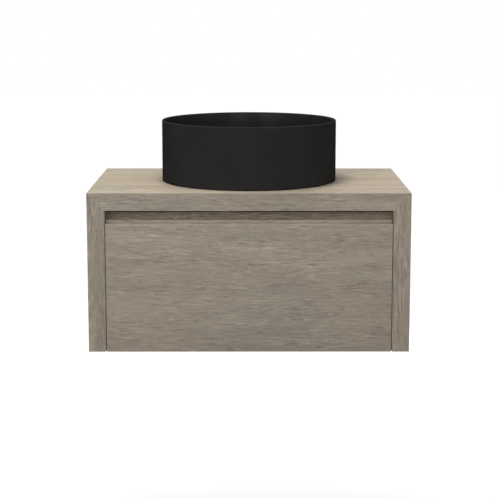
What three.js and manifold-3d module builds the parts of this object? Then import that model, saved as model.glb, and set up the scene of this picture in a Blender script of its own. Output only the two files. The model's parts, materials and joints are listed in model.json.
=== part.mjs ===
// A wall-hung bathroom vanity: a mitred oak casing with one full-width drawer, and a round
// vessel basin with its waste and bottle trap. Millimetres, +Z up. The front faces -Y, the wall
// is the plane Y = 0, and the origin is the middle of the top panel's rear face.
import * as THREE from "three";
import { mergeVertices } from "three/addons/utils/BufferGeometryUtils.js";
import Module from "manifold-3d";

const wasm = await Module();
wasm.setup();

// ---- Driving dimensions ----
const WIDTH = 700; // over the side panels
const DEPTH = 435; // front edge to wall
const HEIGHT = 350; // casing, without the basin
const PANEL = 38; // top and side panels
const BOARD = 16; // hidden boards
const GAP = 0.2; // between faces that meet
const TOUCH = 0.3; // between small turned or cut pieces that meet

const BASIN_RADIUS = 200;
const BASIN_HEIGHT = 139.5; // above the top panel, with its bedding
const BASIN_BEHIND_FRONT = 231; // front edge to the basin's axis
const BEDDING = 1; // silicone under the basin's foot
const BASIN_HOLE = 22.5; // radius of the waste hole in the basin
const PANEL_HOLE = 23; // radius of the waste hole in the top panel

const DRAWER_REVEAL = 1.5; // drawer front to side panel
const LIP_DROP = 67.8; // top surface to the top of the pull lip
const TONGUE_DROP = 60.3; // top surface to the top of the drawer front's rear tongue
const LIP_THICK = 5;
const GROOVE_WIDE = 8;
const GROOVE_DEEP = 14;
const TONGUE_THICK = 9;
const FINGER_RAIL_SETBACK = 27; // drawer front's face to the rail behind the finger gap
const FINGER_RAIL_HIGH = 50;
const SHADOW_GAP_HIGH = 6; // rebate along the rail's upper edge
const SHADOW_GAP_DEEP = 9;

const RUNNER_LENGTH = 350;
const RUNNER_THICK = 13; // side panel to drawer side
const RUNNER_SHEET = 1.2;
const BOX_HIGH = 170; // drawer box
const BOX_LENGTH = 350;
const BOX_CLEARANCE = 6; // drawer box above the base panel
const BOTTOM_THICK = 8;
const BOTTOM_RAISED = 6; // drawer bottom above the lower edge of the sides
const GROOVE_IN_SIDE = 6; // depth of the groove that holds the drawer bottom
const SIPHON_CLEARANCE = 75; // half width and front radius of the cut-out round the trap
const SIPHON_WALL = 4;

const WALL_SPACE = 18; // hanging rail's rear face to the wall
const HANGING_RAIL_HIGH = 100;
const TRAP_OUTLET_Z = -150; // axis of the outlet pipe
const ROUND = 24; // facets of small turned pieces, a multiple of 12

// ---- Places worked out from them ----
const FRONT = -DEPTH;
const TOP = PANEL / 2;
const UNDERSIDE = -PANEL / 2;
const FOOT = TOP - HEIGHT;
const INNER = WIDTH / 2 - PANEL; // half the width between the side panels
const FRONT_THICK = LIP_THICK + GROOVE_WIDE + TONGUE_THICK;
const FRONT_BACK = FRONT + FRONT_THICK; // rear face of the drawer front
const BASE_TOP = FOOT + BOARD;
const BASE_FRONT = FRONT_BACK + 3;
const BOX_FRONT = FRONT_BACK + GAP;
const BOX_REAR = BOX_FRONT + BOX_LENGTH;
const BOX_LOW = BASE_TOP + BOX_CLEARANCE;
const BOX_TOP = BOX_LOW + BOX_HIGH;
const BOTTOM_LOW = BOX_LOW + BOTTOM_RAISED;
const BOTTOM_TOP = BOTTOM_LOW + BOTTOM_THICK;
const SIDE_OUTER = INNER - RUNNER_THICK;
const SIDE_INNER = SIDE_OUTER - BOARD;
const BASIN_Y = FRONT + BASIN_BEHIND_FRONT;
const RUNNER_FRONT = FRONT_BACK + 3;
const RUNNER_Z = BOX_LOW + 50;

// ---- Materials ----
const finish = (color, roughness, metalness = 0) =>
  new THREE.MeshStandardMaterial({ color, roughness, metalness });
const OAK = finish(0xa59a8a, 0.7);
const CARCASS = finish(0xb9b3a9, 0.75);
const DRAWER_BOARD = finish(0x8d8a86, 0.7);
const BLACK_CERAMIC = finish(0x2a2a2a, 0.45);
const BLACK_METAL = finish(0x232323, 0.5, 0.6);
const ZINC = finish(0xb4b8bc, 0.4, 0.9);
const BALL_STEEL = finish(0xd6d9dc, 0.25, 1);
const RUBBER = finish(0x1c1c1c, 0.85);
const SILICONE = finish(0x33332f, 0.6);
const WHITE_PLASTIC = finish(0xe9e9e6, 0.5);
const GREY_PLASTIC = finish(0x6f7072, 0.55);

// ---- Shape helpers ----

// Closed outline through corners [x, y, radius, steps], with arcs where a radius is given.
function rounded(corners) {
  const outline = [];
  corners.forEach(([x, y, radius = 0, steps = 3], i) => {
    const corner = new THREE.Vector2(x, y);
    if (radius === 0) return outline.push(corner);
    const [px, py] = corners.at(i - 1);
    const [nx, ny] = corners[(i + 1) % corners.length];
    const before = new THREE.Vector2(px, py).sub(corner).normalize();
    const after = new THREE.Vector2(nx, ny).sub(corner).normalize();
    const half = Math.acos(before.dot(after)) / 2;
    const centre = before.clone().add(after).setLength(radius / Math.sin(half)).add(corner);
    const start = before.clone().setLength(radius / Math.tan(half)).add(corner);
    const turn = Math.sign(after.cross(before)) * (Math.PI - 2 * half);
    for (let k = 0; k <= steps; k++) {
      outline.push(start.clone().rotateAround(centre, (turn * k) / steps));
    }
  });
  return outline;
}

const shapeOf = (corners) => new THREE.Shape(rounded(corners));
const boxCorners = (x0, x1, y0, y1, radius = 0) => [
  [x0, y0, radius],
  [x1, y0, radius],
  [x1, y1, radius],
  [x0, y1, radius],
];

function extrude(shape, length) {
  return new THREE.ExtrudeGeometry(shape, {
    depth: length,
    bevelEnabled: false,
    curveSegments: ROUND / 2,
  });
}

const X = new THREE.Vector3(1, 0, 0);
const Y = new THREE.Vector3(0, 1, 0);
const Z = new THREE.Vector3(0, 0, 1);

// A (y, z) section swept from x0 to x1.
function alongX(shape, x0, x1) {
  const turn = new THREE.Matrix4().makeBasis(Y, Z, X);
  return extrude(shape, x1 - x0).applyMatrix4(turn).translate(x0, 0, 0);
}

// An (x, z) section swept from y0 to y1.
function alongY(shape, y0, y1) {
  const turn = new THREE.Matrix4().makeBasis(X, Z, Y.clone().negate());
  return extrude(shape, y1 - y0).applyMatrix4(turn).translate(0, y1, 0);
}

// An (x, y) outline swept from z0 to z1.
const alongZ = (shape, z0, z1) => extrude(shape, z1 - z0).translate(0, 0, z0);

const board = (x0, x1, y0, y1, z0, z1) => alongZ(shapeOf(boxCorners(x0, x1, y0, y1)), z0, z1);

// A closed (radius, height) profile turned about Y.
function turnedAboutY(corners, facets = ROUND) {
  const profile = rounded(corners);
  if (THREE.ShapeUtils.area(profile) < 0) profile.reverse();
  const closed = [...profile, profile[0].clone()];
  return new THREE.LatheGeometry(closed, facets);
}

const turnedAboutZ = (corners, facets) => turnedAboutY(corners, facets).rotateX(Math.PI / 2);

function solid(geometry) {
  const bare = new THREE.BufferGeometry();
  bare.setAttribute("position", geometry.getAttribute("position").clone());
  if (geometry.index) bare.setIndex(geometry.index.clone());
  const merged = mergeVertices(bare, 1e-3);
  const vertProperties = new Float32Array(merged.attributes.position.array);
  const triVerts = new Uint32Array(merged.index.array);
  return new wasm.Manifold(new wasm.Mesh({ numProp: 3, vertProperties, triVerts }));
}

function geometryOf(manifold) {
  const { vertProperties, triVerts } = manifold.getMesh();
  const geometry = new THREE.BufferGeometry();
  geometry.setAttribute("position", new THREE.BufferAttribute(vertProperties, 3));
  geometry.setIndex(new THREE.BufferAttribute(triVerts, 1));
  geometry.computeVertexNormals();
  return geometry;
}

const join = (first, ...others) =>
  geometryOf(others.reduce((whole, next) => whole.add(solid(next)), solid(first)));
const cut = (first, ...others) =>
  geometryOf(others.reduce((whole, next) => whole.subtract(solid(next)), solid(first)));

function add(parent, name, geometry, material) {
  const mesh = new THREE.Mesh(geometry, material);
  mesh.name = name;
  parent.add(mesh);
  return mesh;
}

const SIDES = [
  ["left", -1],
  ["right", 1],
];
const mirrored = (corners, side) => corners.map(([x, ...rest]) => [side * x, ...rest]);
const span = (side, a, b) => (side < 0 ? [-b, -a] : [a, b]);

// ---- Casing ----

// Loose tongue across a mitre, or with extra > 0 the slot that it is glued into.
function mitreSpline(side, extra = 0) {
  const thick = 4 + extra;
  const wide = 22 + extra;
  const long = 380 + extra;
  const middle = (INNER + WIDTH / 2) / 2;
  return new THREE.BoxGeometry(wide, long, thick)
    .rotateY((side * Math.PI) / 4)
    .translate(side * middle, -DEPTH / 2, 0);
}

function buildCasing(parent) {
  const wasteHole = turnedAboutZ(boxCorners(0, PANEL_HOLE, UNDERSIDE - 5, TOP + 5));
  const topSection = shapeOf([
    [-INNER, UNDERSIDE],
    [INNER, UNDERSIDE],
    [WIDTH / 2, TOP],
    [-WIDTH / 2, TOP],
  ]);
  const slots = SIDES.map(([, side]) => mitreSpline(side, 0.6));
  const topPanel = alongY(topSection, FRONT, 0);
  add(parent, "top_panel", cut(topPanel, wasteHole.translate(0, BASIN_Y, 0), ...slots), OAK);

  SIDES.forEach(([name, side], i) => {
    const section = shapeOf(
      mirrored(
        [
          [INNER, FOOT],
          [WIDTH / 2, FOOT],
          [WIDTH / 2, TOP - GAP],
          [INNER, UNDERSIDE - GAP],
        ],
        side,
      ),
    );
    add(parent, `side_panel_${name}`, cut(alongY(section, FRONT, 0), slots[i]), OAK);
    add(parent, `mitre_spline_${name}`, mitreSpline(side), CARCASS);
  });

  const reach = INNER - GAP;
  add(
    parent,
    "base_panel",
    board(-reach, reach, BASE_FRONT, -WALL_SPACE, FOOT, BASE_TOP),
    CARCASS,
  );

  const railTop = UNDERSIDE - GAP;
  const railFace = FRONT + FINGER_RAIL_SETBACK;
  const railFoot = UNDERSIDE - FINGER_RAIL_HIGH;
  const railSection = shapeOf([
    [railFace, railFoot, 1.5],
    [railFace + BOARD, railFoot],
    [railFace + BOARD, railTop],
    [railFace + SHADOW_GAP_DEEP, railTop],
    [railFace + SHADOW_GAP_DEEP, railTop - SHADOW_GAP_HIGH],
    [railFace, railTop - SHADOW_GAP_HIGH],
  ]);
  add(parent, "finger_rail", alongX(railSection, -reach, reach), OAK);

  // The top corners are notched for the hanger hooks.
  const notchWide = 24;
  const notchHigh = 26;
  const railLow = railTop - HANGING_RAIL_HIGH;
  const hangingOutline = shapeOf([
    [-reach, railLow],
    [reach, railLow],
    [reach, railTop - notchHigh],
    [reach - notchWide, railTop - notchHigh],
    [reach - notchWide, railTop],
    [-reach + notchWide, railTop],
    [-reach + notchWide, railTop - notchHigh],
    [-reach, railTop - notchHigh],
  ]);
  const hangingRail = alongY(hangingOutline, -WALL_SPACE - BOARD, -WALL_SPACE);
  add(parent, "hanging_rail", hangingRail, CARCASS);

  const bumperInset = 30; // from the side panel
  for (const [name, side] of SIDES) {
    const bumperProfile = [
      [0, FRONT_BACK + TOUCH],
      [3, FRONT_BACK + TOUCH, 0.8, 1],
      [4, BASE_FRONT - GAP],
      [0, BASE_FRONT - GAP],
    ];
    const bumper = turnedAboutY(bumperProfile, 12);
    bumper.translate(side * (INNER - bumperInset), 0, FOOT + BOARD / 2);
    add(parent, `front_bumper_${name}`, bumper, RUBBER);
  }
}

// ---- Wall hanging ----
const HOOK_THICK = 3;
const HOOK_WIDE = 12;
const HOOK_UNDER = -36; // underside of the hook's arm
const WALL_RAIL_SHEET = 2;
const WALL_RAIL_STEP = 6; // gap behind the rail's upper edge
const WALL_RAIL_LOW = -80;
const WALL_RAIL_BEND = WALL_RAIL_LOW + 21; // where the sheet leaves the wall
const WALL_RAIL_RAISED = WALL_RAIL_LOW + 27; // where it is clear of the wall
const HOOK_ROOT = -90; // end of the arm inside the hanger
const HOOK_TIP_FRONT = -5;
const HOOK_TIP_REAR = -2;
const HANGER_FRONT = -100;
const HANGER_LOW = -86;
const HANGER_TOP = -25;
const HANGER_WIDE = 22;

function buildHanging(parent) {
  const top = HOOK_UNDER - GAP;
  const proud = -WALL_RAIL_STEP - WALL_RAIL_SHEET;
  const railSection = shapeOf([
    [-GAP, WALL_RAIL_LOW],
    [-GAP, WALL_RAIL_BEND, 1],
    [-WALL_RAIL_STEP, WALL_RAIL_RAISED, 1],
    [-WALL_RAIL_STEP, top],
    [proud, top],
    [proud, WALL_RAIL_RAISED, 1],
    [-GAP - WALL_RAIL_SHEET, WALL_RAIL_BEND, 1],
    [-GAP - WALL_RAIL_SHEET, WALL_RAIL_LOW],
  ]);
  const half = INNER - 10;
  const holeZ = (WALL_RAIL_LOW + WALL_RAIL_BEND) / 2;
  const screwHoles = [-0.9, -0.45, 0, 0.45, 0.9].map((place) =>
    turnedAboutY(boxCorners(0, 4, -5, 5), 12).translate(place * half, 0, holeZ),
  );
  add(parent, "wall_rail", cut(alongX(railSection, -half, half), ...screwHoles), ZINC);

  for (const [name, side] of SIDES) {
    const hookMiddle = INNER - 12;
    const armTop = HOOK_UNDER + HOOK_THICK;
    const hookSection = shapeOf([
      [HOOK_ROOT, HOOK_UNDER],
      [HOOK_TIP_FRONT, HOOK_UNDER, 0.8],
      [HOOK_TIP_FRONT, HOOK_UNDER - 9],
      [HOOK_TIP_REAR, HOOK_UNDER - 10],
      [HOOK_TIP_REAR, armTop, 2.5],
      [HOOK_ROOT, armTop],
    ]);
    const hookSpan = (play) =>
      span(side, hookMiddle - HOOK_WIDE / 2 - play, hookMiddle + HOOK_WIDE / 2 + play);
    add(parent, `hanger_hook_${name}`, alongX(hookSection, ...hookSpan(0)), ZINC);

    const bodyRear = -WALL_SPACE - BOARD - 1;
    const bodySection = shapeOf([
      [HANGER_FRONT, HANGER_LOW, 5],
      [bodyRear, HANGER_LOW, 2],
      [bodyRear, HANGER_TOP, 2],
      [HANGER_FRONT + 22, HANGER_TOP, 8],
      [HANGER_FRONT, HANGER_TOP - 15, 5],
    ]);
    const body = alongX(bodySection, ...span(side, INNER - HANGER_WIDE, INNER - GAP));
    const slot = board(...hookSpan(0.4), HOOK_ROOT - 1, bodyRear + 5, HOOK_UNDER - 3, armTop + 3);
    add(parent, `hanger_${name}`, cut(body, slot), ZINC);
  }
}

// ---- Drawer ----

// A U round the trap, open to the rear: its wall lies between two offsets of the cut-out.
function uShape(inner, outer, rear) {
  const shape = new THREE.Shape();
  shape.moveTo(outer, rear);
  shape.lineTo(inner, rear);
  shape.lineTo(inner, BASIN_Y);
  shape.absarc(0, BASIN_Y, inner, 0, Math.PI, true);
  shape.lineTo(-inner, rear);
  shape.lineTo(-outer, rear);
  shape.lineTo(-outer, BASIN_Y);
  shape.absarc(0, BASIN_Y, outer, Math.PI, 2 * Math.PI, false);
  shape.closePath();
  return shape;
}

// The whole of the space inside such a U.
function uSpace(radius, rear) {
  const shape = new THREE.Shape();
  shape.moveTo(radius, rear);
  shape.lineTo(-radius, rear);
  shape.lineTo(-radius, BASIN_Y);
  shape.absarc(0, BASIN_Y, radius, Math.PI, 2 * Math.PI, false);
  shape.closePath();
  return shape;
}

function drawerFrontSection() {
  const lipTop = TOP - LIP_DROP;
  const tongueTop = TOP - TONGUE_DROP;
  const grooveFloor = lipTop - GROOVE_DEEP;
  const grooveFront = FRONT + LIP_THICK;
  const grooveBack = grooveFront + GROOVE_WIDE;
  return shapeOf([
    [FRONT, FOOT, 0.8, 2],
    [FRONT_BACK, FOOT, 0.8, 2],
    [FRONT_BACK, tongueTop, 1, 2],
    [grooveBack, tongueTop, 1.5, 2],
    [grooveBack, grooveFloor, 3.9, 4],
    [grooveFront, grooveFloor, 3.9, 4],
    [grooveFront, lipTop, 1.9, 3],
    [FRONT, lipTop, 2, 4],
  ]);
}

// Section of a drawer side or sub-front: a board with the groove for the drawer bottom.
function groovedBoard(outer, inner) {
  const floor = inner + Math.sign(outer - inner) * GROOVE_IN_SIDE;
  return [
    [outer, BOX_LOW],
    [inner, BOX_LOW],
    [inner, BOTTOM_LOW - GAP],
    [floor, BOTTOM_LOW - GAP],
    [floor, BOTTOM_TOP + GAP],
    [inner, BOTTOM_TOP + GAP],
    [inner, BOX_TOP, 1],
    [outer, BOX_TOP, 1],
  ];
}

function buildDrawer(parent) {
  const half = INNER - DRAWER_REVEAL;
  add(parent, "drawer_front", alongX(drawerFrontSection(), -half, half), OAK);

  const subfrontRear = BOX_FRONT + BOARD;
  const subfront = shapeOf(groovedBoard(BOX_FRONT, subfrontRear));
  const between = SIDE_INNER - GAP;
  add(parent, "drawer_subfront", alongX(subfront, -between, between), DRAWER_BOARD);

  const surround = SIPHON_CLEARANCE + SIPHON_WALL;
  for (const [name, side] of SIDES) {
    const section = shapeOf(mirrored(groovedBoard(SIDE_OUTER, SIDE_INNER), side));
    add(parent, `drawer_side_${name}`, alongY(section, BOX_FRONT, BOX_REAR), DRAWER_BOARD);

    const [back0, back1] = span(side, surround + GAP, between);
    const backOutline = shapeOf(boxCorners(back0, back1, BOTTOM_TOP + GAP, BOX_TOP));
    const back = alongY(backOutline, BOX_REAR - BOARD, BOX_REAR);
    add(parent, `drawer_back_${name}`, back, DRAWER_BOARD);
  }

  const seat = GROOVE_IN_SIDE - 2 * GAP;
  const plate = board(
    -SIDE_INNER - seat,
    SIDE_INNER + seat,
    subfrontRear - seat,
    BOX_REAR,
    BOTTOM_LOW,
    BOTTOM_TOP,
  );
  const room = alongZ(uSpace(surround + GAP, BOX_REAR + 5), BOTTOM_LOW - 5, BOTTOM_TOP + 5);
  add(parent, "drawer_bottom", cut(plate, room), DRAWER_BOARD);

  const wall = alongZ(uShape(SIPHON_CLEARANCE, surround, BOX_REAR), BOX_LOW, BOX_TOP);
  const flangeRear = BOX_REAR - BOARD - TOUCH;
  const rim = alongZ(uShape(SIPHON_CLEARANCE, surround + 6, flangeRear), BOX_TOP - 3, BOX_TOP);
  const foot = alongZ(
    uShape(SIPHON_CLEARANCE + 1, surround + 8, flangeRear),
    BOTTOM_TOP + GAP,
    BOTTOM_TOP + 3,
  );
  add(parent, "siphon_surround", join(wall, rim, foot), GREY_PLASTIC);
}

// ---- Ball-bearing runners ----
// Sections are drawn in (u, v): u from the side panel towards the drawer, v up from the axis.
const BALL_RADIUS = 2;
const CAGE_LENGTH = 150;
const BALL_PITCH = 28;
const BALLS_IN_ROW = 5;

// A C of sheet from a web at u = web to flange ends at u = end, with returns of the given depth.
function channel(web, end, half, lip) {
  const t = Math.sign(end - web) * RUNNER_SHEET;
  const s = RUNNER_SHEET;
  const upper = [
    [web + t, half - s],
    [end - t, half - s],
    [end - t, half - lip],
    [end, half - lip],
    [end, half, 1, 2],
    [web, half, 1.4, 2],
  ];
  const lower = upper.map(([u, v, ...round]) => [u, -v, ...round]).reverse();
  return [...upper, ...lower];
}

function plainChannel(web, end, half, sheet) {
  const t = Math.sign(end - web) * sheet;
  return [
    [web + t, half - sheet],
    [end, half - sheet],
    [end, half],
    [web, half],
    [web, -half],
    [end, -half],
    [end, -half + sheet],
    [web + t, -half + sheet],
  ];
}

function cage(place, web, end, ballU, ballV) {
  const sheet = 0.7;
  const middle = RUNNER_FRONT + RUNNER_LENGTH / 2;
  const outline = shapeOf(place(plainChannel(web, end, ballV + sheet / 2, sheet)));
  const strip = alongY(outline, middle - CAGE_LENGTH / 2, middle + CAGE_LENGTH / 2);
  const balls = [];
  for (let i = 0; i < BALLS_IN_ROW; i++) {
    for (const row of [-ballV, ballV]) {
      const [[x, z]] = place([[ballU, row]]);
      const y = middle + (i - (BALLS_IN_ROW - 1) / 2) * BALL_PITCH;
      balls.push(new THREE.IcosahedronGeometry(BALL_RADIUS).translate(x, y, z));
    }
  }
  return join(strip, ...balls);
}

function buildRunners(parent) {
  const rear = RUNNER_FRONT + RUNNER_LENGTH;
  for (const [name, side] of SIDES) {
    const place = (corners) =>
      corners.map(([u, v, ...round]) => [side * (INNER - u), RUNNER_Z + v, ...round]);
    const member = (corners) => alongY(shapeOf(place(corners)), RUNNER_FRONT, rear);
    add(parent, `runner_cabinet_member_${name}`, member(channel(GAP, 9.8, 22.5, 3.2)), ZINC);
    add(parent, `runner_middle_member_${name}`, member(channel(2.9, 10.8, 16.7, 2.6)), ZINC);
    add(
      parent,
      `runner_drawer_member_${name}`,
      member(channel(RUNNER_THICK - GAP, 5.6, 10.9, RUNNER_SHEET + 1)),
      ZINC,
    );
    add(parent, `outer_ball_cage_${name}`, cage(place, 1.8, 8.1, 6, 19), BALL_STEEL);
    add(parent, `inner_ball_cage_${name}`, cage(place, 4.5, 9.1, 7.3, 13.2), BALL_STEEL);
  }
}

// ---- Basin ----
const BASIN_LOW = TOP + BEDDING;
const BASIN_BODY = BASIN_HEIGHT - BEDDING;
const RECESS_FLOOR = 11; // above the basin's foot, under the waste flange

function buildBasin(parent) {
  const profile = [
    [BASIN_HOLE, 0],
    [44, 0],
    [48, 4],
    [178, 4],
    [182, 0],
    [BASIN_RADIUS, 0, 1.5, 2],
    [BASIN_RADIUS, BASIN_BODY, 2.6, 3],
    [BASIN_RADIUS - 6, BASIN_BODY, 2.6, 3],
    [BASIN_RADIUS - 9, 17.5, 42, 6],
    [34, 13],
    [34, RECESS_FLOOR],
    [BASIN_HOLE, RECESS_FLOOR],
  ];
  const basin = turnedAboutZ(profile, 60).translate(0, BASIN_Y, BASIN_LOW);
  add(parent, "basin", basin, BLACK_CERAMIC);

  const bedding = turnedAboutZ(boxCorners(185, 196, TOP + GAP, BASIN_LOW - GAP), 36);
  add(parent, "basin_bedding", bedding.translate(0, BASIN_Y, 0), SILICONE);
}

// ---- Waste and trap, about the basin's axis ----
const TAIL = 20.5; // outer radius of the waste's threaded tail
const TAIL_BORE = 17;
const TAIL_END = -64;
const PIPE = 16; // outer radius of the trap's tubes
const PIPE_BORE = 14.4;
const SLIP = 0.4; // radial play where a tube enters a socket
const NECK_TOP = -94; // upper end of the bottle's neck
const NECK = 20; // outer radius of the neck
const BOTTLE = 31;
const BOTTLE_BORE = 28.5;
const BOTTLE_LOW = -198;
const CUP = 35;
const CUP_TOP = -186;
const CUP_FOOT = -228;
const SOCKET = 19; // outer radius of the outlet's socket
const SOCKET_END = 60;

const RIB = 1.6; // height of the ribs of a hand grip

// A plastic nut with grip ribs and the given bore, turned about Z.
function ribbedNut(radius, low, high, bore) {
  const shape = new THREE.Shape();
  const points = 2 * ROUND;
  for (let i = 0; i < points; i++) {
    const rib = i % 4 < 2 ? radius : radius - RIB;
    const angle = (2 * Math.PI * i) / points;
    const [x, y] = [rib * Math.cos(angle), rib * Math.sin(angle)];
    if (i === 0) shape.moveTo(x, y);
    else shape.lineTo(x, y);
  }
  return cut(alongZ(shape, low, high), turnedAboutZ(bore));
}

function buildWaste(parent) {
  const seat = BASIN_LOW + RECESS_FLOOR;
  const rim = seat + 4.2;
  const tube = turnedAboutZ([
    [TAIL_BORE, TAIL_END],
    [TAIL, TAIL_END],
    [TAIL, seat + 1.8],
    [32.5, seat + 1.8],
    [32.5, rim, 1, 2],
    [30, rim],
    [19, rim - 2],
    [TAIL_BORE, rim - 5],
  ]);
  const hub = turnedAboutZ(boxCorners(4.5, 8, 6, 22));
  const spokes = [0, 1, 2].map((i) =>
    new THREE.BoxGeometry(12, 2.4, 12)
      .translate(12.5, 0, 14)
      .rotateZ((i * 2 * Math.PI) / 3 + Math.PI / 2),
  );
  add(parent, "waste_body", join(tube, hub, ...spokes), BLACK_METAL);

  const upperSeal = turnedAboutZ(boxCorners(23, 31.5, seat + GAP, seat + 1.6));
  add(parent, "waste_upper_seal", upperSeal, RUBBER);

  const panelSeal = turnedAboutZ([
    [TAIL + SLIP, UNDERSIDE - 3],
    [32, UNDERSIDE - 3],
    [32, UNDERSIDE - GAP],
    [TAIL + SLIP, UNDERSIDE - GAP],
  ]);
  add(parent, "waste_lower_seal", panelSeal, RUBBER);

  const hexagon = new THREE.Shape(
    [0, 1, 2, 3, 4, 5].map((i) => {
      const angle = (i * Math.PI) / 3;
      return new THREE.Vector2(31 * Math.cos(angle), 31 * Math.sin(angle));
    }),
  );
  hexagon.holes.push(new THREE.Path().absarc(0, 0, TAIL + SLIP, 0, 2 * Math.PI, true));
  add(parent, "waste_backnut", alongZ(hexagon, UNDERSIDE - 14, UNDERSIDE - 3.2), BLACK_METAL);

  const capLow = rim + 1.4;
  const cap = turnedAboutZ([
    [0, 2],
    [4, 2, 1, 2],
    [4, capLow - 1.6],
    [21.2, capLow - 1.6],
    [21.2, capLow],
    [29, capLow, 0.6, 2],
    [29, capLow + 2.4, 1.2, 2],
    [14, capLow + 4.2],
    [0, capLow + 4.6],
  ]);
  add(parent, "waste_plug", cap, BLACK_METAL);
  const plugSeal = turnedAboutZ(boxCorners(21.5, 24.5, capLow - 1.8, capLow - TOUCH));
  add(parent, "waste_plug_seal", plugSeal, RUBBER);
}

function buildTrap(parent) {
  const sealLow = TAIL_END - 3;
  const inletSeal = turnedAboutZ(boxCorners(PIPE, 20, sealLow, TAIL_END - TOUCH));
  add(parent, "trap_inlet_seal", inletSeal, RUBBER);

  const collarTop = sealLow - TOUCH;
  const collarLow = collarTop - 2.6;
  const dipLow = BOTTLE_LOW - 2;
  const dipTube = turnedAboutZ([
    [PIPE_BORE, dipLow],
    [PIPE, dipLow],
    [PIPE, collarLow],
    [19.8, collarLow],
    [19.8, collarTop],
    [PIPE_BORE, collarTop],
  ]);
  add(parent, "trap_dip_tube", dipTube, WHITE_PLASTIC);

  const shoulder = collarLow - TOUCH;
  const inletNut = ribbedNut(27, shoulder - 5, TAIL_END + 11, [
    [0, shoulder - 10],
    [PIPE + SLIP, shoulder - 10],
    [PIPE + SLIP, shoulder],
    [TAIL + SLIP, shoulder],
    [TAIL + SLIP, TAIL_END + 20],
    [0, TAIL_END + 20],
  ]);
  add(parent, "trap_inlet_nut", inletNut, WHITE_PLASTIC);

  // The socket of a nut: the wide bore up to its shoulder, the narrow one beyond it.
  const nutBore = (wide, end) => [
    [0, end - 20],
    [wide + SLIP, end - 20],
    [wide + SLIP, end + TOUCH],
    [PIPE + SLIP, end + TOUCH],
    [PIPE + SLIP, end + 10],
    [0, end + 10],
  ];
  const neckNut = ribbedNut(25.5, NECK_TOP - 11, NECK_TOP + 6, nutBore(NECK, NECK_TOP));
  add(parent, "trap_neck_nut", neckNut, WHITE_PLASTIC);

  // The bottle, its neck and the socket of the outlet.
  const bottle = turnedAboutZ([
    [PIPE + SLIP, NECK_TOP],
    [NECK, NECK_TOP],
    [NECK, NECK_TOP - 14],
    [BOTTLE, NECK_TOP - 19, 5, 3],
    [BOTTLE, BOTTLE_LOW],
    [BOTTLE_BORE, BOTTLE_LOW],
    [BOTTLE_BORE, NECK_TOP - 22, 3, 2],
    [PIPE + SLIP, NECK_TOP - 17],
  ]);
  const socket = turnedAboutY(boxCorners(0, SOCKET, 18, SOCKET_END));
  socket.translate(0, 0, TRAP_OUTLET_Z);
  const inside = turnedAboutZ(boxCorners(0, BOTTLE_BORE, BOTTLE_LOW, NECK_TOP - 24));
  const throat = turnedAboutY(boxCorners(0, PIPE + SLIP, 10, SOCKET_END + 5));
  throat.translate(0, 0, TRAP_OUTLET_Z);
  const body = geometryOf(
    solid(bottle).add(solid(socket)).subtract(solid(inside)).subtract(solid(throat)),
  );
  add(parent, "trap_body", body, WHITE_PLASTIC);

  // The cup screws onto the bottle's foot; its seal lies on a shelf inside it.
  const shelf = BOTTLE_LOW - 4;
  const cupSeal = turnedAboutZ(
    boxCorners(BOTTLE_BORE + TOUCH, BOTTLE, shelf + TOUCH, BOTTLE_LOW - TOUCH),
  );
  add(parent, "trap_cup_seal", cupSeal, RUBBER);
  const cup = turnedAboutZ([
    [0, CUP_FOOT],
    [25, CUP_FOOT, 6, 2],
    [CUP - RIB, shelf - 6, 6, 2],
    [CUP - RIB, CUP_TOP],
    [BOTTLE + SLIP, CUP_TOP],
    [BOTTLE + SLIP, shelf],
    [BOTTLE_BORE, shelf],
    [BOTTLE_BORE, shelf - 10, 5, 2],
    [22, CUP_FOOT + 3, 4, 2],
    [0, CUP_FOOT + 3],
  ]);
  const gripLow = shelf - 3;
  const grip = ribbedNut(CUP, gripLow, CUP_TOP - 3, boxCorners(0, CUP - 2.5, gripLow - 5, CUP_TOP));
  add(parent, "trap_cup", join(cup, grip), WHITE_PLASTIC);

  const outletNut = ribbedNut(25.5, SOCKET_END - 13, SOCKET_END + 5, nutBore(SOCKET, SOCKET_END));
  outletNut.rotateX(-Math.PI / 2).translate(0, 0, TRAP_OUTLET_Z);
  add(parent, "trap_outlet_nut", outletNut, WHITE_PLASTIC);

  const wall = -BASIN_Y;
  const pipe = turnedAboutY(boxCorners(PIPE_BORE, PIPE, 36, wall)).translate(0, 0, TRAP_OUTLET_Z);
  add(parent, "trap_outlet_pipe", pipe, WHITE_PLASTIC);

  const escutcheon = turnedAboutY([
    [PIPE + SLIP, wall - 16],
    [20, wall - 16, 1.5, 2],
    [36, wall - 4, 2, 2],
    [38, wall - GAP],
    [35.5, wall - GAP],
    [PIPE + SLIP, wall - 12],
  ]).translate(0, 0, TRAP_OUTLET_Z);
  add(parent, "wall_escutcheon", escutcheon, WHITE_PLASTIC);
}

const vanity = new THREE.Group();
buildCasing(vanity);
buildHanging(vanity);
buildDrawer(vanity);
buildRunners(vanity);
buildBasin(vanity);

const plumbing = new THREE.Group();
plumbing.position.y = BASIN_Y;
buildWaste(plumbing);
buildTrap(plumbing);
vanity.add(plumbing);

export default vanity;
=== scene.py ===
"""A wall-hung oak vanity with a black vessel basin: looks, light and camera round the CAD frame.

Metres, +Z up. The front faces -Y, the wall is the plane Y = 0, and the origin is the middle of the
top panel's rear face. A finished piece is built from its CAD node's mesh or box, so it keeps its place.
"""
import json
import math

import bmesh
import bpy
from mathutils import Euler, Matrix, Vector


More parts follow.
